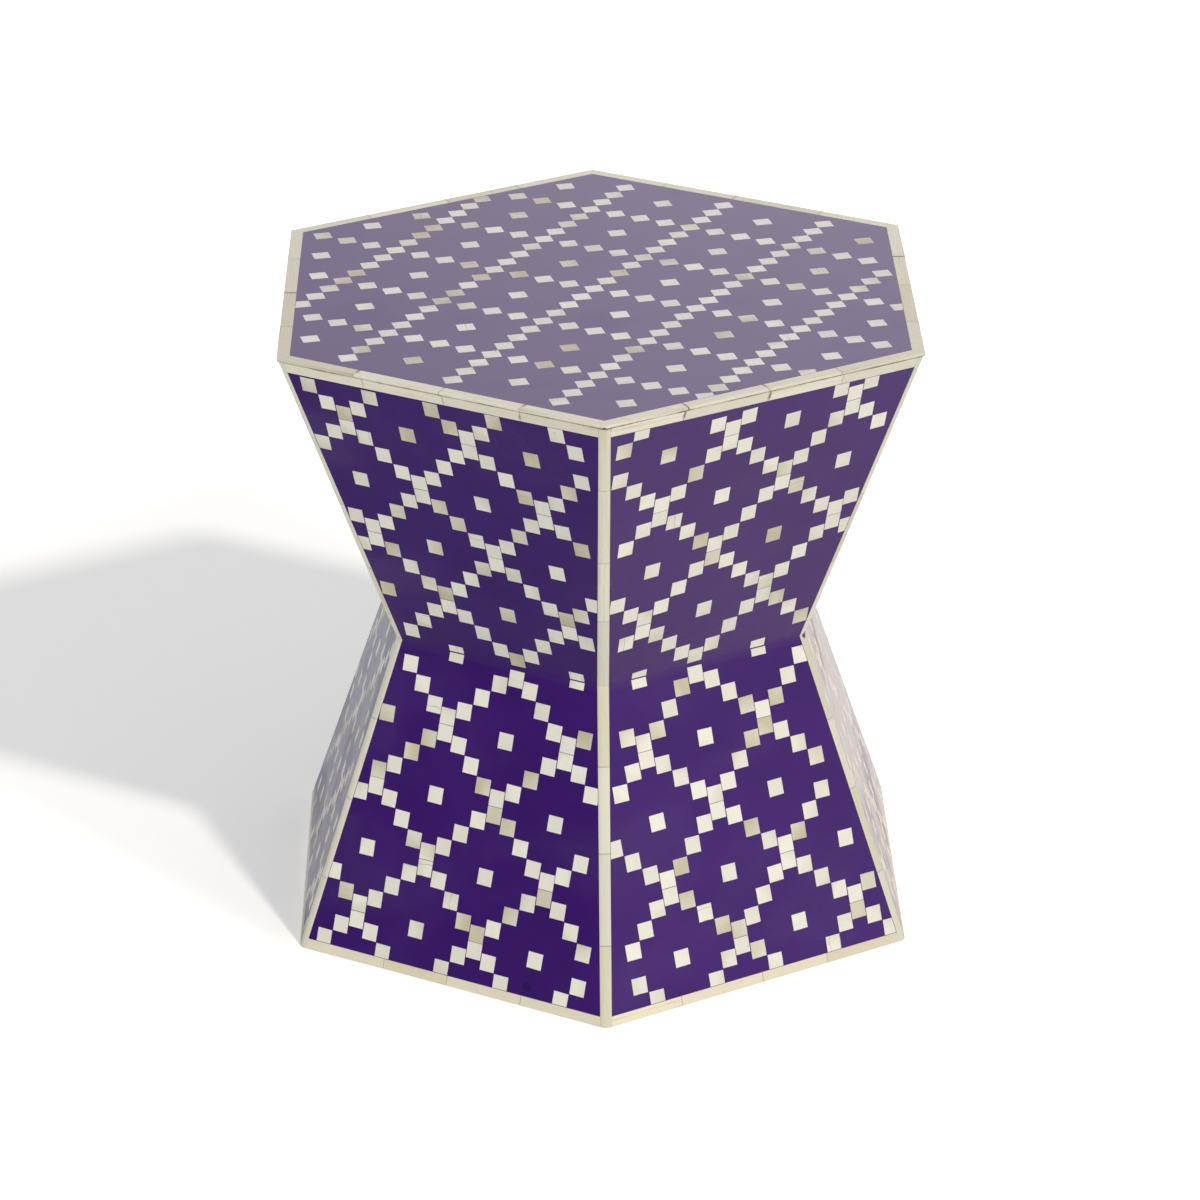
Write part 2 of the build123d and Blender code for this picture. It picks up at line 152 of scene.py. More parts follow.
VEIN_SPAN = (0.5, 0.68)
VEIN_SHARE = 0.55
VEIN_SEEDS = (0.3, 0.9)
VEIN_LEAST = 0.1
BONE_ROUGH_SPAN = (0.3, 0.8)
BONE_ROUGH = (0.26, 0.36)
RIM_ROUGH = 0.2
BONE_BUMP = (0.25, 0.02 * MM)

# Dirt between the strips: in the seam under the top's edge, in its corners and at the ends of the strips
DIRT_COLOUR = (0.18, 0.135, 0.08, 1)
DIRT_ROUGH = 0.3
UNEVEN_SCALE = (38, 38, 5)
FINE_SCALE = (260, 260, 260)
SEAM_HEIGHT = TOP_HEIGHT - 2.4 * MM
SEAM_HALF = 0.5 * MM
SEAM_NARROW = 0.7
SEAM_WIDE = 1.8
SEAM_FADE_SPAN = (0.5, 1.0)
SEAM_WIDTH_SPAN = (0.3, 0.75)
SEAM_DIRT_SPAN = (0.5, 0.95)
SEAM_DIRT = (0.45, 0.9)
SEAM_FINE_SHARE = 0.4
CORNER_INSIDE = 1.6 * MM
CORNER_OUTSIDE = 0.8 * MM
CHIP_FULL = 0.6 * MM
CHIP_NONE = 1.3 * MM
CHIP_DIRT = 0.9
JOINT_NARROW = 0.3 * MM
JOINT_WIDE = 2.0 * MM
JOINT_SPAN = (0.3, 0.7)
JOINT_CHOICE_SCALE = (31, 31, 31)
JOINT_CHOICE_SPAN = (0.54, 0.62)
JOINT_DIRT = (0.12, 0.8)
JOINTS_START = 3 * MM

# Resin: its colours, the noises in it, its polish, and the fold at the waist
RESIN_DEEP = (0.036, 0.0044, 0.128, 1)
RESIN_LIGHT = (0.044, 0.0064, 0.150, 1)
RESIN_CLOUD_SCALE = (14, 14, 20)
RESIN_CLOUD_SPAN = (0.3, 0.72)
RESIN_SMEAR = (0.075, 0.028, 0.17, 1)
SMEAR_SCALE = (9, 9, 14)
SMEAR_SPAN = (0.42, 0.72)
SMEAR_SHARE = 0.22
RESIN_MARK = (0.012, 0.004, 0.03, 1)
SPECK_SCALE = (170, 170, 170)
SPECK_SPAN = (0.755, 0.8)
SPECK_SHARE = 0.75
WAVE_SCALE = (22, 22, 22)
RESIN_WAVE = 0.12 * MM
RESIN_ROUGH = (0.16, 0.3)
RESIN_COAT = 0.3
RESIN_COAT_ROUGH = 0.08
FOLD_REACH = 5 * MM
FOLD_SLOPE = 0.33

# Small dark marks: the place, the radius and the strength of each
WAIST_RADIUS = 0.1655
NICK_BEARING = math.radians(-30)
WAIST_NICK = (WAIST_RADIUS * math.cos(NICK_BEARING), WAIST_RADIUS * math.sin(NICK_BEARING), WAIST_HEIGHT)
TOP_CORNER = (0.0, 0.6 * MM - TOP_RADIUS, SEAM_HEIGHT)
BONE_MARKS = [(WAIST_NICK, 2.7 * MM, 1.0), (TOP_CORNER, 1.6 * MM, 0.9)]
RESIN_MARKS = [((-0.2017, -0.1055, TOP_HEIGHT), 1.7 * MM, 0.8), ((-0.0543, -0.2124, 0.0139), 3.4 * MM, 0.5)]
MARK_FULL = 0.75
MARK_NONE = 1.15

# Wood: its colours early and late in the year, and the noises in it, along the fibres first. Then the zinc
# of the screws.
BOARD_WOOD = ((0.50, 0.34, 0.19, 1), (0.33, 0.2, 0.1, 1))
BATTEN_WOOD = ((0.62, 0.47, 0.29, 1), (0.46, 0.31, 0.17, 1))
BLOCK_WOOD = ((0.6, 0.44, 0.27, 1), (0.44, 0.29, 0.15, 1))
PANEL_WOOD = ((0.56, 0.42, 0.26, 1), (0.42, 0.29, 0.16, 1))
FIBRE_TINT = (0.5, 0.42, 0.34, 1)
DRIFT_SCALE = (3, 16, 16)
DRIFT_SHARE = 0.3
BAND_SCALE = (4, 130, 130)
BAND_SHARE = 0.75
RING_SPAN = (0.38, 0.68)
RING_HEIGHT = 0.3
FIBRE_SCALE = (60, 1500, 1500)
FIBRE_SPAN = (0.4, 0.75)
FIBRE_SHARE = 0.5
FIBRE_HEIGHT = 0.5
WOOD_ROUGH_SPAN = (0.3, 0.8)
WOOD_ROUGH = (0.5, 0.72)
WOOD_BUMP = (0.4, 0.2 * MM)
GRAIN_CIRCLE = 0.2
ZINC = (0.62, 0.6, 0.55, 1)
DULL_ZINC = (0.42, 0.41, 0.38, 1)
ZINC_SCALE = (500, 500, 500)
ZINC_SPAN = (0.35, 0.7)
ZINC_ROUGH_SPAN = (0.3, 0.7)
ZINC_ROUGH = (0.28, 0.5)

# Lamps
KEY_BEARING = math.radians(-48.2)
KEY_ELEVATION = math.radians(42.3)
KEY_STRENGTH = 1.33
KEY_SPREAD = math.radians(4)
KEY_COLOUR = (1.0, 0.95, 0.855)
KEY_DISTANCE = 4
FILL_BEARING = math.radians(-105)
FILL_ELEVATION = math.radians(14)
FILL_DISTANCE = 3.0
FILL_SIZE = 1.6
FILL_POWER = 17.0
FILL_COLOUR = (0.97, 0.99, 1.0)

# Sky: the light that it gives, and what the table mirrors of it on the left and on the right
SKY_LIGHT = (0.48, 0.49, 0.505, 1)
WHITE = (1, 1, 1, 1)
SKY_IN_FRONT = ((0.07, 0.07, 0.07, 1), (0.50, 0.38, 0.49, 1))
SKY_IN_FRONT_SPAN = (0.0, 0.8)
SKY_BEHIND = ((0.80, 0.75, 0.78, 1), (1.04, 0.975, 1.015, 1))
SKY_BEHIND_SPAN = (-0.1, 0.06)
SKY_DEPTH_SPAN = (-0.6, 0.7)

# Floor: its colour for the light that it throws back and for the camera, and what the table mirrors of it,
# on the left and on the right. It glows a little as painted light, least in the table's shadow, whose reach
# away from the key and whose width beside it are spanned here.
FLOOR_SIZE = 14.0
FLOOR_COLOUR = (0.93, 0.93, 0.93, 1)
FLOOR_SEEN = (1.0, 0.988, 0.965, 1)
FLOOR_IN_FRONT = ((0.15, 0.15, 0.12, 1), (0.54, 0.44, 0.395, 1))
FLOOR_IN_FRONT_SPAN = (-0.25, 0.3)
FLOOR_BEHIND = ((0.70, 0.695, 0.69, 1), (0.80, 0.75, 0.685, 1))
FLOOR_BEHIND_SPAN = (-0.1, 0.1)
FLOOR_DEPTH_SPAN = (-0.13, -0.03)
GLOW_IN_SHADOW = 0.215
GLOW_IN_LIGHT = 0.54
GLOW_FAR_OFF = 0.15
FAR_OFF_SPAN = (0.9, 1.8)
SHADOW_START_SPAN = (-0.05, 0.07)
SHADOW_END_SPAN = (0.72, 0.86)
SHADOW_LEFT_SPAN = (-0.31, -0.22)
SHADOW_RIGHT_SPAN = (0.22, 0.34)


# Geometry of the bone pieces

def joined_copy(node):
    """The node's mesh as a bmesh, with its loose triangles merged and its flat faces whole."""
    work = bmesh.new()
    work.from_mesh(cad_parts[node].data)
    bmesh.ops.remove_doubles(work, verts=work.verts, dist=MERGE_DISTANCE)
    bmesh.ops.dissolve_limit(work, angle_limit=FLAT_ANGLE, verts=work.verts, edges=work.edges)
    return work


def islands(work):
    """Lists of the faces of each loose piece, in a steady order."""
    work.faces.index_update()
    seen = set()
    pieces = []
    for face in work.faces:
        if face.index in seen:
            continue
        seen.add(face.index)
        piece = [face]
        for member in piece:
            for edge in member.edges:
                for other in edge.link_faces:
                    if other.index not in seen:
                        seen.add(other.index)
                        piece.append(other)
        pieces.append(piece)
    return pieces


def is_outward(face):
    """True of a face on the finished outside: on the top, or turned away from the middle axis."""
    middle = face.calc_center_median()
    level = Vector((middle.x, middle.y, 0)).normalized()
    on_top = face.normal.z > UPWARD_LEAST and middle.z > TOP_HEIGHT - MM
    return on_top or face.normal.dot(level) > OUTWARD_LEAST


def round_arrises(work, offset):
    """Rounds the edges between two outside faces."""
    work.normal_update()
    outside = {face for face in work.faces if is_outward(face)}
    edges = [edge for edge in work.edges
             if len(edge.link_faces) == 2 and outside.issuperset(edge.link_faces)]
    bmesh.ops.bevel(work, geom=edges, offset=offset, segments=ROUND_SEGMENTS, profile=0.5,
                    affect="EDGES", clamp_overlap=True, material=-1)
    work.normal_update()


def ring_outside(work, ring, dip, edge_layer):
    """Insets the outside of each piece by a narrow ring, marks its rim and lets the rim dip a little."""
    outside = [face for face in work.faces if is_outward(face)]
    made = bmesh.ops.inset_region(work, faces=outside, thickness=ring, depth=0.0, use_boundary=True,
                                  use_even_offset=True)
    inner = {vert for face in outside for vert in face.verts}
    rim = {vert for face in made["faces"] for vert in face.verts} - inner
    for vert in work.verts:
        vert[edge_layer] = 1.0 if vert in rim else 0.0
    normals = {vert: sum((face.normal for face in vert.link_faces if is_outward(face)), Vector())
               for vert in rim}
    for vert, normal in normals.items():
        vert.co -= normal.normalized() * dip


def edge_rank(edge):
    """Sorts edges from long to short and equal ones by their place, so that every run picks the same."""
    middle = (edge.verts[0].co + edge.verts[1].co) / 2
    return [-round(edge.calc_length() / MM, 3), *(round(part / MM, 2) for part in middle)]


def grain_axis(piece, along_length, chance):
    """Direction of the grain: along a strip, and along one side or the other of a tile."""
    outside = [face for face in piece if is_outward(face)] or piece
    edge = min({edge for face in outside for edge in face.edges}, key=edge_rank)
    start, end = sorted((vert.co for vert in edge.verts), key=tuple)
    way = (end - start).normalized()
    if along_length:
        return way
    normal = outside[0].normal
    turn = chance.choice((0.0, math.pi / 2)) + math.radians(chance.uniform(-GRAIN_SWING, GRAIN_SWING))
    return Matrix.Rotation(turn, 3, normal) @ way


def mark_pieces(work, along_length, khaki_share, chance):
    """Gives each piece its tone, which may run across it, a chance number, a crack, grain coordinates, and
    the place along it and half its length."""
    tone_layer = work.verts.layers.float.new("tone")
    seed_layer = work.verts.layers.float.new("seed")
    crack_layer = work.verts.layers.float.new("crack")
    along_layer = work.verts.layers.float.new("along")
    half_layer = work.verts.layers.float.new("half_length")
    grain_layer = work.loops.layers.uv.new("grain")
    for piece in islands(work):
        axis = grain_axis(piece, along_length, chance)
        shift = Vector((chance.uniform(0, GRAIN_SHIFT), chance.uniform(0, GRAIN_SHIFT)))
        khaki = chance.random() < khaki_share
        base = chance.uniform(*(KHAKI_TONES if khaki else PALE_TONES))
        fade = chance.uniform(0.0, MOST_FADE)
        if along_length:
            fade = 0.0
            base *= STRIP_TONE_SHARE
        heading = chance.uniform(0, 2 * math.pi)
        seed = chance.random()
        crack = 1.0 if chance.random() < CRACKED_SHARE and not along_length else 0.0
        corners = list(dict.fromkeys(vert for face in piece for vert in face.verts))
        middle = sum((vert.co for vert in corners), Vector()) / len(corners)
        half = max(abs((vert.co - middle).dot(axis)) for vert in corners)
        for face in piece:
            across = face.normal.cross(axis).normalized()
            slope = (axis * math.cos(heading) + across * math.sin(heading)) * (fade / TILE_HALF)
            for loop in face.loops:
                reach = loop.vert.co - middle
                loop[grain_layer].uv = (reach.dot(axis) + shift.x, reach.dot(across) + shift.y)
                loop.vert[seed_layer] = seed
                loop.vert[crack_layer] = crack
                loop.vert[along_layer] = reach.dot(axis)
                loop.vert[half_layer] = half
                if is_outward(face):
                    loop.vert[tone_layer] = base + reach.dot(slope)


def bone_piece(node, name, finish, ring, dip, arris, khaki_share, seed):
    """Finished copy of a node of bone pieces, which stands for that node. Strips have an arris, which may
    be 0, and tiles have None."""
    work = joined_copy(node)
    if arris:
        round_arrises(work, arris)
    mark_pieces(work, arris is not None, khaki_share, random.Random(seed))
    edge_layer = work.verts.layers.float.new("rim")
    ring_outside(work, ring, dip, edge_layer)
    mesh = bpy.data.meshes.new(name)
    work.to_mesh(mesh)
    work.free()
    mesh.materials.append(finish)
    piece = bpy.data.objects.new(name, mesh)
    bpy.context.scene.collection.objects.link(piece)
    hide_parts(node)
    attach(piece, "root")


# Node helpers

def new_group(name, inputs, outputs):
    """Empty shader group with its sockets: (name, kind, value) in, (name, kind) out."""
    group = bpy.data.node_groups.new(name, "ShaderNodeTree")
    for label, kind, value in inputs:
        socket = group.interface.new_socket(label, in_out="INPUT", socket_type="NodeSocket" + kind)
        if value is not None:
            socket.default_value = value
    for label, kind in outputs:
        group.interface.new_socket(label, in_out="OUTPUT", socket_type="NodeSocket" + kind)
    entry = group.nodes.new("NodeGroupInput")
    leave = group.nodes.new("NodeGroupOutput")
    return group, entry.outputs, leave.inputs


class Wiring:
    """Short ways to add and link the nodes of one tree."""

    def __init__(self, tree):
        self.tree = tree

    def put(self, socket, value):
        if isinstance(value, bpy.types.NodeSocket):
            self.tree.links.new(value, socket)
        elif value is not None:
            socket.default_value = value

    def node(self, kind, settings=None, **values):
        made = self.tree.nodes.new(kind)
        for key, value in (settings or {}).items():
            setattr(made, key, value)
        for key, value in values.items():
            self.put(made.inputs[key.replace("_", " ")], value)
        return made

    def math(self, operation, a, b=None, clamp=False):
        made = self.tree.nodes.new("ShaderNodeMath")
        made.operation = operation
        made.use_clamp = clamp
        self.put(made.inputs[0], a)
        self.put(made.inputs[1], b)
        return made.outputs[0]

    def add(self, a, b, clamp=False):
        return self.math("ADD", a, b, clamp)

    def subtract(self, a, b):
        return self.math("SUBTRACT", a, b)

    def times(self, a, b):
        return self.math("MULTIPLY", a, b)

    def larger(self, a, b):
        return self.math("MAXIMUM", a, b)

    def apart(self, a, b):
        """How far two values lie from each other."""
        return self.math("ABSOLUTE", self.subtract(a, b))

    def split(self, vector):
        return self.node("ShaderNodeSeparateXYZ", Vector=vector).outputs

    def join(self, x, y, z):
        return self.node("ShaderNodeCombineXYZ", X=x, Y=y, Z=z).outputs[0]

    def place(self):
        """Coordinates of the object, which are those of the frame."""
        return self.node("ShaderNodeTexCoord").outputs["Object"]

    def noise(self, vector, scale, detail=3.0, roughness=0.5, distortion=0.0):
        """Noise with its own scale along each axis."""
        scaled = self.node("ShaderNodeMapping", Vector=vector, Scale=scale).outputs[0]
        made = self.node("ShaderNodeTexNoise", Vector=scaled, Scale=1.0, Detail=detail,
                         Roughness=roughness, Distortion=distortion)
        return made.outputs["Fac"]

    def ramp(self, value, low, high, out_low=0.0, out_high=1.0):
        """Smooth step from one value to another, which holds them outside its span."""
        made = self.tree.nodes.new("ShaderNodeMapRange")
        made.interpolation_type = "SMOOTHSTEP"
        for index, given in enumerate((value, low, high, out_low, out_high)):
            self.put(made.inputs[index], given)
        return made.outputs[0]

    def mix(self, share, a, b, blend="MIX"):
        made = self.tree.nodes.new("ShaderNodeMix")
        made.data_type = "RGBA"
        made.blend_type = blend
        self.put(made.inputs[0], share)
        self.put(made.inputs[6], a)
        self.put(made.inputs[7], b)
        return made.outputs[2]

    def attribute(self, name):
        return self.node("ShaderNodeAttribute", {"attribute_name": name}).outputs["Fac"]

    def bumps(self, height, strength, distance):
        return self.node("ShaderNodeBump", Height=height, Strength=strength, Distance=distance).outputs[0]

    def use(self, group, **values):
        made = self.tree.nodes.new("ShaderNodeGroup")
        made.node_tree = group
        for key, value in values.items():
            self.put(made.inputs[key.replace("_", " ")], value)
        return made.outputs


def new_material(name):
    material = bpy.data.materials.new(name)
    material.use_nodes = True
    tree = material.node_tree
    shader = tree.nodes["Principled BSDF"]
    return material, Wiring(tree), shader


# Shared effects

def make_bone_group():
    """Cut bone: cream to khaki, streaked faintly along the grain, with pores, stains, a dark rim and a
    rare crack."""
    group, given, result = new_group(
        "bone_grain",
        [("Grain", "Vector", None), ("Tone", "Float", 0.0), ("Seed", "Float", 0.0), ("Rim", "Float", 0.0),
         ("Crack", "Float", 0.0), ("Dirt", "Float", 0.5), ("Pale", "Color", TILE_BONE[0]),
         ("Khaki", "Color", TILE_BONE[1])],
        [("Color", "Color"), ("Roughness", "Float"), ("Height", "Float")])
    w = Wiring(group)
    grain = given["Grain"]

    # Tone of the piece, with a slow drift
    cloud = w.noise(grain, CLOUD_SCALE, detail=2.0)
    drift = w.times(w.subtract(cloud, 0.5), CLOUD_SHARE)
    body = w.mix(w.add(given["Tone"], drift, clamp=True), given["Pale"], given["Khaki"])
    shade = w.ramp(given["Seed"], 0.0, 1.0, *SHADES)
    lit = w.mix(1.0, body, w.join(shade, shade, shade), "MULTIPLY")

    # Streaks and pores along the grain
    streak = w.noise(grain, STREAK_SCALE, roughness=0.55)
    streaked = w.mix(w.ramp(streak, *STREAK_SPAN, 0.0, STREAK_SHARE), lit, STREAK_TINT, "MULTIPLY")
    pores = w.ramp(w.noise(grain, PORE_SCALE, detail=1.0), *PORE_SPAN)
    pored = w.mix(w.times(pores, PORE_SHARE), streaked, PORE_COLOUR)

    # Crack along the grain, on a line that bends
    across = w.split(grain)[1]
    bend = w.noise(grain, CRACK_BEND_SCALE)
    line = w.add(w.times(across, 1 / MM), w.times(bend, CRACK_BEND))
    near = w.apart(w.math("FRACT", w.math("DIVIDE", line, CRACK_SPACING)), 0.5)
    crack = w.times(w.ramp(near, *CRACK_SPAN, 1.0, 0.0), given["Crack"])
    cracked = w.mix(w.times(crack, CRACK_SHARE), pored, CRACK_COLOUR)

    # Grime at the rim, and rare stains
    rim_break = w.noise(grain, RIM_SCALE, detail=2.0)
    grime = w.times(w.ramp(rim_break, *RIM_SPAN, RIM_LEAST, 1.0), given["Dirt"])
    rim = w.times(w.ramp(given["Rim"], *RIM_FADE_SPAN), grime)
    rimmed = w.mix(rim, cracked, RIM_COLOUR)
    blotch = w.noise(grain, STAIN_SCALE)
    stained = w.mix(w.ramp(blotch, *STAIN_SPAN, 0.0, STAIN_SHARE), rimmed, STAIN_COLOUR)

    w.put(result["Color"], stained)
    rough = w.ramp(streak, *BONE_ROUGH_SPAN, *BONE_ROUGH)
    w.put(result["Roughness"], w.add(rough, w.times(rim, RIM_ROUGH)))
    low = w.add(w.times(pores, PORE_DEPTH), crack)
    w.put(result["Height"], w.subtract(w.times(streak, STREAK_HEIGHT), low))
    return group


def make_wear_group():
    """Handling of a polished surface: smears and a slow waviness."""
    group, given, result = new_group(
        "handled_polish", [("Place", "Vector", None)], [("Smear", "Float"), ("Wave", "Float")])
    w = Wiring(group)
    cloud = w.noise(given["Place"], SMEAR_SCALE, roughness=0.55, distortion=0.4)
    w.put(result["Smear"], w.ramp(cloud, *SMEAR_SPAN))
    w.put(result["Wave"], w.noise(given["Place"], WAVE_SCALE, detail=1.0))
    return group


def make_wood_group():
    """Planed wood with rings and fibres along X of the coordinates it is given."""
    group, given, result = new_group(
        "planed_wood",
        [("Grain", "Vector", None), ("Early", "Color", BOARD_WOOD[0]), ("Late", "Color", BOARD_WOOD[1])],
        [("Color", "Color"), ("Roughness", "Float"), ("Height", "Float")])
    w = Wiring(group)
    grain = given["Grain"]
    drift = w.noise(grain, DRIFT_SCALE, detail=2.0)
    bands = w.noise(grain, BAND_SCALE, distortion=0.6)
    fibre = w.noise(grain, FIBRE_SCALE, roughness=0.7)
    ring = w.ramp(w.add(w.times(bands, BAND_SHARE), w.times(drift, DRIFT_SHARE)), *RING_SPAN)
    tinted = w.mix(ring, given["Early"], given["Late"])
    fibred = w.mix(w.ramp(fibre, *FIBRE_SPAN, 0.0, FIBRE_SHARE), tinted, FIBRE_TINT, "MULTIPLY")
    w.put(result["Color"], fibred)
    w.put(result["Roughness"], w.ramp(fibre, *WOOD_ROUGH_SPAN, *WOOD_ROUGH))
    w.put(result["Height"], w.add(w.times(fibre, FIBRE_HEIGHT), w.times(ring, RING_HEIGHT)))
    return group


bone_group = make_bone_group()
wear_group = make_wear_group()
wood_group = make_wood_group()


# Finishes

def spots(w, place, marks):
    """Mask of a few round marks."""
    mask = 0.0
    for centre, radius, strength in marks:
        away = w.node("ShaderNodeVectorMath", {"operation": "DISTANCE"})
        w.put(away.inputs[0], place)
        away.inputs[1].default_value = centre
        spot = w.ramp(away.outputs["Value"], radius * MARK_FULL, radius * MARK_NONE, strength, 0.0)
        mask = w.larger(spot, mask)
    return mask


def axis_distance(w, x, y):
    return w.math("SQRT", w.add(w.times(x, x), w.times(y, y)))


def strip_dirt(w, place):
    """Mask of the dirt between strips: in the seam under the top's edge, in its chipped corners and in
    some of the joints from strip to strip above the rim strips' foot."""
    x, y, height = w.split(place)
    uneven = w.noise(place, UNEVEN_SCALE, detail=4.0, roughness=0.65)
    fine = w.noise(place, FINE_SCALE, detail=2.0)
    off = w.apart(height, SEAM_HEIGHT)
    half = w.ramp(uneven, *SEAM_WIDTH_SPAN, SEAM_HALF * SEAM_NARROW, SEAM_HALF * SEAM_WIDE)
    line = w.ramp(w.math("DIVIDE", off, half), *SEAM_FADE_SPAN, 1.0, 0.0)
    packed = w.ramp(w.add(uneven, w.times(fine, SEAM_FINE_SHARE)), *SEAM_DIRT_SPAN, *SEAM_DIRT)
    in_corner = w.ramp(axis_distance(w, x, y), TOP_RADIUS - CORNER_INSIDE, TOP_RADIUS - CORNER_OUTSIDE)
    chip = w.times(in_corner, w.ramp(off, CHIP_FULL, CHIP_NONE, CHIP_DIRT, 0.0))
    from_end = w.subtract(w.attribute("half_length"), w.math("ABSOLUTE", w.attribute("along")))
    which = w.noise(place, JOINT_CHOICE_SCALE, detail=0.0)
    ragged = w.ramp(fine, *JOINT_SPAN, JOINT_NARROW, JOINT_WIDE)
    often = w.times(w.ramp(which, *JOINT_CHOICE_SPAN, *JOINT_DIRT),
                    w.ramp(height, RIM_FOOT, RIM_FOOT + JOINTS_START))
    in_joint = w.times(w.ramp(from_end, 0.0, ragged, 1.0, 0.0), often)
    return w.larger(w.times(line, packed), w.larger(in_joint, chip))


def bone_finish(name, bone_colours, is_strip):
    """Polished bone. Strips have veins too, and dirt between them, and the small dark marks."""
    pale, khaki, dirt = bone_colours
    material, w, shader = new_material(name)
    grain = w.node("ShaderNodeUVMap", {"uv_map": "grain"}).outputs[0]
    bone = w.use(bone_group, Grain=grain, Tone=w.attribute("tone"), Seed=w.attribute("seed"),
                 Rim=w.attribute("rim"), Crack=w.attribute("crack"), Dirt=dirt, Pale=pale, Khaki=khaki)
    colour, rough = bone["Color"], bone["Roughness"]
    if is_strip:
        place = w.place()
        filth = strip_dirt(w, place)
        vein = w.ramp(w.noise(grain, VEIN_SCALE, roughness=0.6), *VEIN_SPAN, 0.0, VEIN_SHARE)
        veiny = w.ramp(w.attribute("seed"), *VEIN_SEEDS, VEIN_LEAST, 1.0)
        veined = w.mix(w.times(vein, veiny), colour, VEIN_COLOUR)
        dirty = w.mix(filth, veined, DIRT_COLOUR)
        colour = w.mix(spots(w, place, BONE_MARKS), dirty, NICK_COLOUR)
        rough = w.add(rough, w.times(filth, DIRT_ROUGH))
    w.put(shader.inputs["Base Color"], colour)
    w.put(shader.inputs["Roughness"], rough)
    w.put(shader.inputs["Normal"], w.bumps(bone["Height"], *BONE_BUMP))
    shader.inputs["IOR"].default_value = IOR
    return material


def resin_finish():
    """Deep purple resin, polished, a little wavy, and rounded softly into the fold at the waist."""
    material, w, shader = new_material("purple_resin")
    place = w.place()
    wear = w.use(wear_group, Place=place)
    cloud = w.noise(place, RESIN_CLOUD_SCALE, detail=4.0, roughness=0.6)
    deep = w.mix(w.ramp(cloud, *RESIN_CLOUD_SPAN), RESIN_DEEP, RESIN_LIGHT)
    smeared = w.mix(w.times(wear["Smear"], SMEAR_SHARE), deep, RESIN_SMEAR)
    speck = w.noise(place, SPECK_SCALE, detail=2.0)
    specked = w.mix(w.ramp(speck, *SPECK_SPAN, 0.0, SPECK_SHARE), smeared, RESIN_MARK)
    w.put(shader.inputs["Base Color"], w.mix(spots(w, place, RESIN_MARKS), specked, RESIN_MARK))
    w.put(shader.inputs["Roughness"], w.ramp(wear["Smear"], 0.0, 1.0, *RESIN_ROUGH))
    height = w.split(place)[2]
    inside = w.larger(w.subtract(FOLD_REACH, w.apart(height, WAIST_HEIGHT)), 0.0)
    fold = w.times(w.times(inside, inside), FOLD_SLOPE / (2 * FOLD_REACH))
    lift = w.add(fold, w.times(wear["Wave"], RESIN_WAVE))
    w.put(shader.inputs["Normal"], w.bumps(lift, 1.0, 1.0))
    shader.inputs["IOR"].default_value = IOR
    shader.inputs["Coat Weight"].default_value = RESIN_COAT
    shader.inputs["Coat Roughness"].default_value = RESIN_COAT_ROUGH
    return material


def grain_round(w, x, y, z):
    """Coordinates for wood that runs round the table: along the circle, up, and away from the axis."""
    angle = w.math("ARCTAN2", y, x)
    return w.join(w.times(angle, GRAIN_CIRCLE), z, axis_distance(w, x, y))


def grain_upright(w, x, y, z):
    return w.join(z, x, y)


def wood_finish(name, wood_colours, run=None):
    """Wood whose grain runs as the function run turns it, or straight across the table."""
    early, late = wood_colours
    material, w, shader = new_material(name)
    grain = w.place()
    if run:
        grain = run(w, *w.split(grain))
    wood = w.use(wood_group, Grain=grain, Early=early, Late=late)
    w.put(shader.inputs["Base Color"], wood["Color"])
    w.put(shader.inputs["Roughness"], wood["Roughness"])
    w.put(shader.inputs["Normal"], w.bumps(wood["Height"], *WOOD_BUMP))
    return material


def screw_finish():
    material, w, shader = new_material("zinc_screws")
    cloud = w.noise(w.place(), ZINC_SCALE)
    w.put(shader.inputs["Base Color"], w.mix(w.ramp(cloud, *ZINC_SPAN), ZINC, DULL_ZINC))
    w.put(shader.inputs["Roughness"], w.ramp(cloud, *ZINC_ROUGH_SPAN, *ZINC_ROUGH))
    shader.inputs["Metallic"].default_value = 1.0
    return material


def paint_nodes(names, finish):
    for name in names:
        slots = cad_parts[name].data.materials
        slots.clear()
        slots.append(finish)


def on_each_side(label):
    """Names of the nodes of both bands, side by side."""
    return [f"{band}_{label}_{side}" for band in BANDS for side in SIDES]


def dress_frame():
    """Finishes for the nodes that stay as they are."""
    paint_nodes(["top_resin"] + on_each_side("resin"), resin_finish())
    paint_nodes(on_each_side("side_board"), wood_finish("side_boards_wood", BOARD_WOOD, grain_round))
    paint_nodes([f"base_rail_{side}" for side in SIDES] + ["top_cleats"],
                wood_finish("battens_wood", BATTEN_WOOD, grain_round))
    paint_nodes([f"{band}_corner_blocks" for band in BANDS],
                wood_finish("blocks_wood", BLOCK_WOOD, grain_upright))
    paint_nodes(["top_board", "upper_waist_plate", "lower_waist_plate"],
                wood_finish("panels_wood", PANEL_WOOD))
    paint_nodes(["top_screws", "waist_screws", "rail_screws"], screw_finish())


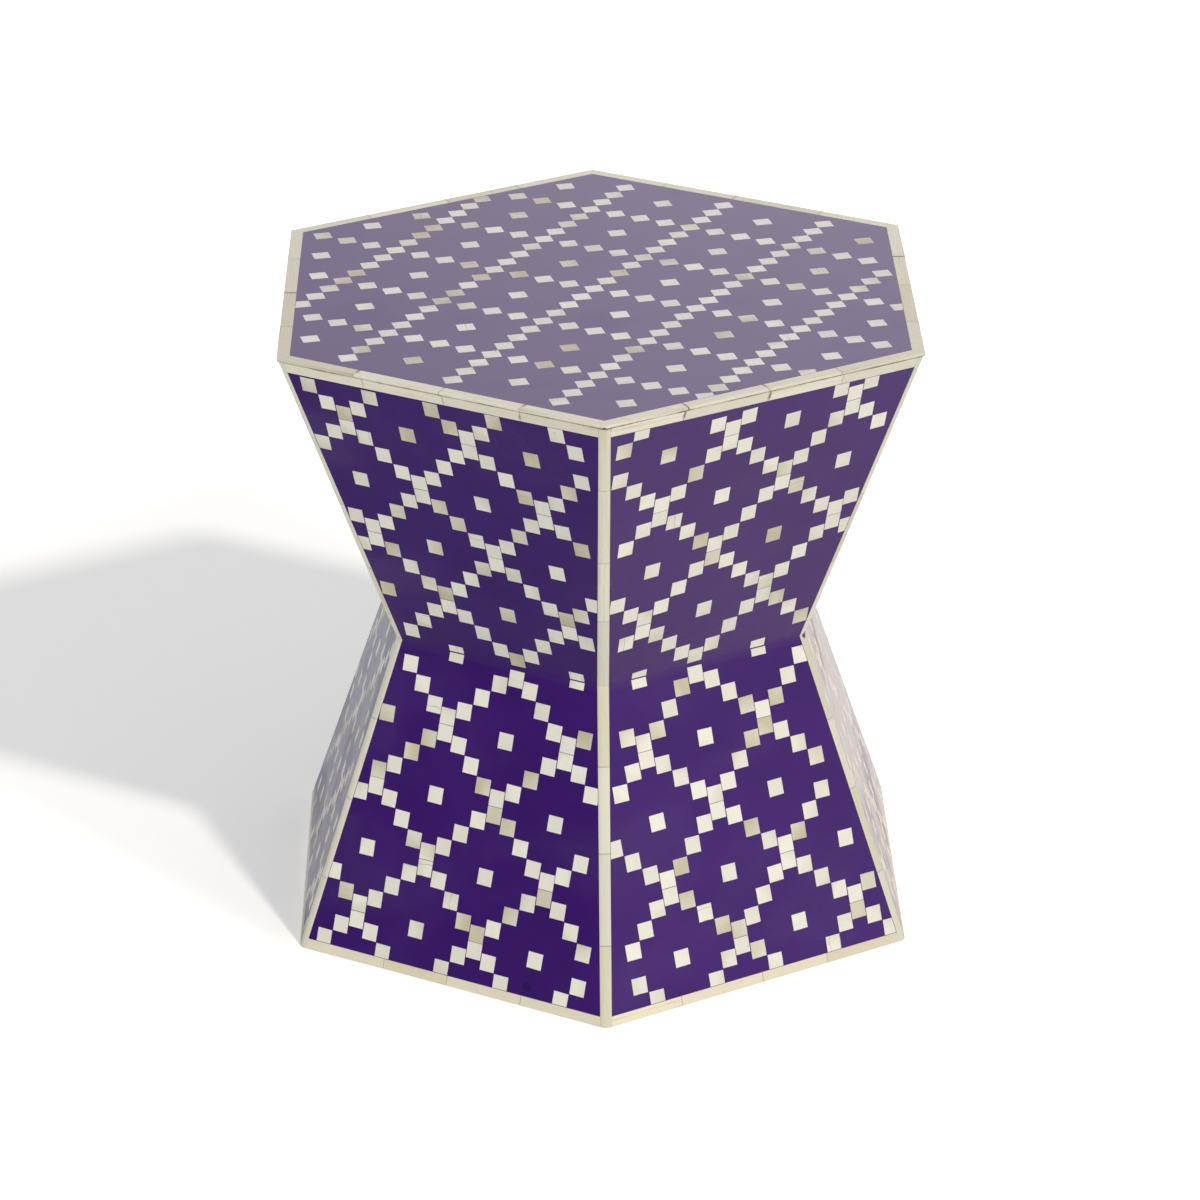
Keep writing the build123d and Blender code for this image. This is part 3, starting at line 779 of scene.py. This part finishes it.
def dress_bone():
    """Finished copies of all the bone pieces."""
    tiles = bone_finish("tile_bone", TILE_BONE, False)
    edge_bone = bone_finish("edge_bone", EDGE_BONE, True)
    corner_bone = bone_finish("corner_bone", CORNER_BONE, True)
    base_bone = bone_finish("base_bone", BASE_BONE, True)
    top_tiles = bone_finish("top_tile_bone", TOP_TILE_BONE, False)
    bone_piece("top_bone_tiles", "tiles_top", top_tiles, TILE_RING, TILE_DIP, None,
               KHAKI_SHARE_ON_TOP, TOP_TILE_SEED)
    for offset, band in enumerate(BANDS):
        for side in SIDES:
            bone_piece(f"{band}_bone_tiles_{side}", f"tiles_{band}_{side}", tiles,
                       TILE_RING, TILE_DIP, None, KHAKI_SHARE, TILE_SEED + TILE_SEED_STEP * offset + side)
    strips = [("top_border_strips", edge_bone, TOP_EDGE_ROUND), ("upper_rim_strips", edge_bone, 0.0),
              ("upper_corner_strips", corner_bone, CORNER_ROUND),
              ("lower_corner_strips", corner_bone, CORNER_ROUND), ("base_border_strips", base_bone, 0.0)]
    for number, (node, finish, arris) in enumerate(strips):
        bone_piece(node, node.replace("_strips", "_bone"), finish, STRIP_RING, STRIP_DIP,
                   arris, KHAKI_SHARE, STRIP_SEED + number)


# Surroundings

def toward(bearing, elevation):
    """Unit vector to a place at that bearing, anticlockwise from +X seen from above, and elevation."""
    level = math.cos(elevation)
    return Vector((math.cos(bearing) * level, math.sin(bearing) * level, math.sin(elevation)))


def aimed(place, target):
    way = (target - place).normalized()
    return Matrix.Translation(place) @ way.to_track_quat("-Z", "Y").to_matrix().to_4x4()


def shadow_mask(w, x, y):
    """1 on the floor where the key throws the table's shadow, falling softly to 0 around it."""
    away = toward(KEY_BEARING + math.pi, 0.0)
    reach = w.add(w.times(x, away.x), w.times(y, away.y))
    beside = w.subtract(w.times(x, away.y), w.times(y, away.x))
    along = w.times(w.ramp(reach, *SHADOW_START_SPAN), w.ramp(reach, *SHADOW_END_SPAN, 1.0, 0.0))
    across = w.times(w.ramp(beside, *SHADOW_LEFT_SPAN), w.ramp(beside, *SHADOW_RIGHT_SPAN, 1.0, 0.0))
    return w.times(along, across)


def make_floor():
    """Pale floor with a painted glow, weak in the table's shadow. Mirrored in the table, it is darker in
    front of it and warm on the right.
    """
    work = bmesh.new()
    bmesh.ops.create_grid(work, x_segments=1, y_segments=1, size=FLOOR_SIZE / 2)
    mesh = bpy.data.meshes.new("floor")
    work.to_mesh(mesh)
    work.free()
    floor = bpy.data.objects.new("floor", mesh)
    bpy.context.scene.collection.objects.link(floor)
    material, w, shader = new_material("floor_paper")
    x, y, _ = w.split(w.place())
    paths = w.node("ShaderNodeLightPath").outputs
    mirrored = paths["Is Glossy Ray"]
    camera = paths["Is Camera Ray"]
    front = w.mix(w.ramp(x, *FLOOR_IN_FRONT_SPAN), *FLOOR_IN_FRONT)
    behind = w.mix(w.ramp(x, *FLOOR_BEHIND_SPAN), *FLOOR_BEHIND)
    tint = w.mix(w.ramp(y, *FLOOR_DEPTH_SPAN), front, behind)
    shown = w.mix(mirrored, w.mix(camera, FLOOR_COLOUR, FLOOR_SEEN), tint)
    # Painted light: the floor glows strongly around the table's shadow and far off, and weakly inside the
    # shadow that shadow_mask places. Camera and glossy rays both see this glow.
    near = w.ramp(shadow_mask(w, x, y), 0.0, 1.0, GLOW_IN_LIGHT, GLOW_IN_SHADOW)
    glow = w.add(near, w.ramp(y, *FAR_OFF_SPAN, 0.0, GLOW_FAR_OFF))
    w.put(shader.inputs["Base Color"], shown)
    w.put(shader.inputs["Emission Color"], shown)
    w.put(shader.inputs["Emission Strength"], w.times(w.larger(camera, mirrored), glow))
    shader.inputs["Roughness"].default_value = 1.0
    shader.inputs["Specular IOR Level"].default_value = 0.0
    mesh.materials.append(material)


def make_sky():
    """White to the camera; even light; brighter behind the table than in front of it in reflections."""
    world = bpy.data.worlds.new("studio")
    bpy.context.scene.world = world
    world.use_nodes = True
    w = Wiring(world.node_tree)
    background = world.node_tree.nodes["Background"]
    across, depth, _ = w.split(w.node("ShaderNodeTexCoord").outputs["Generated"])
    front = w.mix(w.ramp(across, *SKY_IN_FRONT_SPAN), *SKY_IN_FRONT)
    back = w.mix(w.ramp(across, *SKY_BEHIND_SPAN), *SKY_BEHIND)
    mirrored = w.mix(w.ramp(depth, *SKY_DEPTH_SPAN), front, back)
    paths = w.node("ShaderNodeLightPath").outputs
    seen = w.larger(paths["Is Camera Ray"], paths["Is Transmission Ray"])
    shown = w.mix(paths["Is Glossy Ray"], w.mix(seen, SKY_LIGHT, WHITE), mirrored)
    w.put(background.inputs["Color"], shown)
    background.inputs["Strength"].default_value = 1.0


def make_lamps():
    """A sun for the key, and a large soft fill that the table doesn't mirror."""
    key = bpy.data.lights.new("key", "SUN")
    key.energy = KEY_STRENGTH
    key.angle = KEY_SPREAD
    key.color = KEY_COLOUR
    holder = bpy.data.objects.new("key", key)
    holder.matrix_world = aimed(toward(KEY_BEARING, KEY_ELEVATION) * KEY_DISTANCE, Vector())
    bpy.context.scene.collection.objects.link(holder)
    fill = bpy.data.lights.new("fill", "AREA")
    fill.energy = FILL_POWER
    fill.size = FILL_SIZE
    fill.color = FILL_COLOUR
    holder = bpy.data.objects.new("fill", fill)
    holder.visible_glossy = False
    place = toward(FILL_BEARING, FILL_ELEVATION) * FILL_DISTANCE + CAMERA_PIVOT
    holder.matrix_world = aimed(place, CAMERA_PIVOT)
    bpy.context.scene.collection.objects.link(holder)


def make_camera():
    data = bpy.data.cameras.new("camera")
    data.lens = LENS
    data.sensor_width = SENSOR
    data.clip_start = CLIP_NEAR
    data.clip_end = CLIP_FAR
    camera = bpy.data.objects.new("camera", data)
    place = CAMERA_PIVOT + toward(CAMERA_BEARING - math.pi / 2, CAMERA_ELEVATION) * CAMERA_DISTANCE
    turn = Matrix.Rotation(-CAMERA_PAN, 4, "Y") @ Matrix.Rotation(-CAMERA_TILT, 4, "X")
    camera.matrix_world = aimed(place, CAMERA_PIVOT) @ turn @ Matrix.Rotation(-CAMERA_ROLL, 4, "Z")
    bpy.context.scene.collection.objects.link(camera)
    bpy.context.scene.camera = camera


make_camera()
dress_frame()
dress_bone()
make_floor()
make_sky()
make_lamps()
bpy.context.scene.view_settings.view_transform = "Standard"
